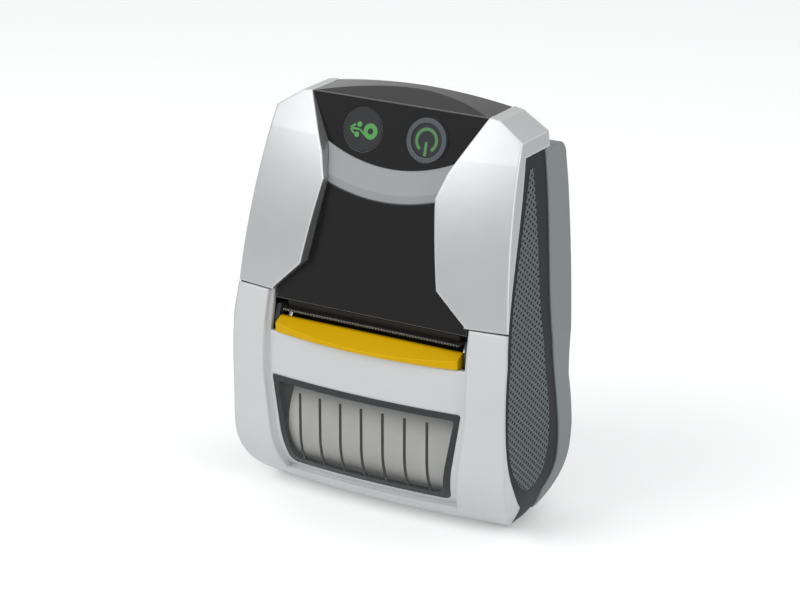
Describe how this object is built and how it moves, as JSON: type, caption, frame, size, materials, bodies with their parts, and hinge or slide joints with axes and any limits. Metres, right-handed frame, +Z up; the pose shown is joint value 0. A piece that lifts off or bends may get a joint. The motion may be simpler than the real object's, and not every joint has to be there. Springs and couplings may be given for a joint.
{
  "type": "portable receipt printer",
  "caption": "Handheld thermal receipt printer standing upright, with a forward-hinged media cover, window over the roll, yellow release lever and two push buttons.",
  "frame": {"origin": "on the table, under the middle of the bounding box", "axes": "+Z up, +Y to the rear, +X to the right of the front view"},
  "size_m": [0.096, 0.049, 0.129],
  "materials": {
    "band_grey": "pale translucent grey diffuser",
    "battery_grey": "dark grey, fine matte",
    "board_green": "green circuit board",
    "bush_black": "black acetal",
    "button_grey": "dark grey, satin",
    "core_plastic": "grey plastic core",
    "cover_paint": "pale silver paint on moulded plastic",
    "frame_grey": "dark grey, fine matte",
    "gear_white": "natural acetal",
    "gloss_black": "high gloss black",
    "grip_rubber": "grey rubber with a raised diamond mesh",
    "head_ceramic": "glazed ceramic, dark brown",
    "lever_yellow": "warm yellow, satin",
    "motor_case": "plated steel",
    "pad_rubber": "grey silicone",
    "paper_white": "white thermal paper",
    "platen_rubber": "black rubber",
    "ring_grey": "blue grey, satin",
    "shell_grey": "mid grey, fine matte",
    "silver_paint": "satin silver paint on moulded plastic",
    "sink_aluminium": "plain aluminium",
    "steel": "bright sheet steel",
    "well_black": "black moulding",
    "window_dark": "dark grey, glossy",
    "window_smoke": "smoked clear plastic"
  },
  "bodies": {
    "printer": {"left_cheek": "silver_paint", "right_cheek": "silver_paint", "fascia": "gloss_black", "light_band": "band_grey", "top_cap": "gloss_black", "left_side_frame": "frame_grey", "right_side_frame": "frame_grey", "left_grip": "grip_rubber", "right_grip": "grip_rubber", "rear_housing": "shell_grey", "base_plate": "silver_paint", "hinge_pins": "steel", "media_well": "well_black", "print_chassis": "steel", "printhead": "head_ceramic", "heat_sink": "sink_aluminium", "head_springs": "steel", "tear_bar": "steel", "tear_holder": "well_black", "idler_pin": "steel", "drive_motor": "motor_case", "key_pad": "pad_rubber", "main_board": "board_green", "port_socket": "well_black"},
    "cover": {"media_cover": "cover_paint", "window_frame": "window_dark", "media_window": "window_smoke", "window_ribs": "window_dark", "platen_frame": "well_black", "platen_bushes": "bush_black", "lever_pins": "steel"},
    "lever": {"release_lever": "lever_yellow"},
    "platen": {"platen_shaft": "steel", "platen_rubber": "platen_rubber", "platen_gear": "gear_white"},
    "idler": {"idler_gear": "gear_white"},
    "pinion": {"motor_pinion": "steel"},
    "roll": {"paper_roll": "paper_white", "roll_core": "core_plastic"},
    "feed_key": {"feed_button": "button_grey"},
    "power_key": {"power_button": "ring_grey", "power_disc": "button_grey"},
    "battery": {"battery_pack": "battery_grey"},
    "latch": {"battery_latch": "battery_grey"},
    "flap": {"port_flap": "shell_grey"}
  },
  "joints": [
    {"name": "cover_hinge", "type": "hinge", "parent": "printer", "child": "cover", "pos_m": [0, 0.001, 0.0044], "axis": [1, 0, 0], "range_deg": [0, 95]},
    {"name": "lever_pull", "type": "hinge", "parent": "cover", "child": "lever", "pos_m": [0, -0.0173, 0.0532], "axis": [-1, 0, 0], "range_deg": [0, 10], "stiffness_Nm_per_rad": 0.05, "springref_deg": -11.46},
    {"name": "platen_spin", "type": "hinge", "parent": "cover", "child": "platen", "pos_m": [0, -0.0123, 0.0515], "axis": [1, 0, 0], "continuous": true},
    {"name": "idler_spin", "type": "hinge", "parent": "printer", "child": "idler", "pos_m": [0, -0.00166, 0.05451], "axis": [1, 0, 0], "continuous": true},
    {"name": "pinion_spin", "type": "hinge", "parent": "printer", "child": "pinion", "pos_m": [0, 0.00559, 0.05804], "axis": [1, 0, 0], "continuous": true},
    {"name": "roll_spin", "type": "hinge", "parent": "printer", "child": "roll", "pos_m": [0, -0.0005, 0.0243], "axis": [1, 0, 0], "continuous": true},
    {"name": "feed_press", "type": "slide", "parent": "printer", "child": "feed_key", "axis": [0, 0.9621, -0.2727], "range_m": [0, 0.0006], "stiffness_N_per_m": 500, "springref_m": -0.0002},
    {"name": "power_press", "type": "slide", "parent": "printer", "child": "power_key", "axis": [0, 0.9621, -0.2727], "range_m": [0, 0.0006], "stiffness_N_per_m": 500, "springref_m": -0.0002},
    {"name": "battery_slide", "type": "slide", "parent": "printer", "child": "battery", "axis": [0, 1, 0], "range_m": [0, 0.016]},
    {"name": "latch_slide", "type": "slide", "parent": "printer", "child": "latch", "axis": [0, 0, 1], "range_m": [0, 0.002], "stiffness_N_per_m": 300, "springref_m": -0.0005},
    {"name": "flap_hinge", "type": "hinge", "parent": "printer", "child": "flap", "pos_m": [-0.0454, 0.0201, 0.093], "axis": [0, 0, -1], "range_deg": [0, 100]}
  ],
  "couplings": [
    {"joint": "idler_spin", "follows": "platen_spin", "ratio": -1.2},
    {"joint": "pinion_spin", "follows": "platen_spin", "ratio": 2}
  ]
}
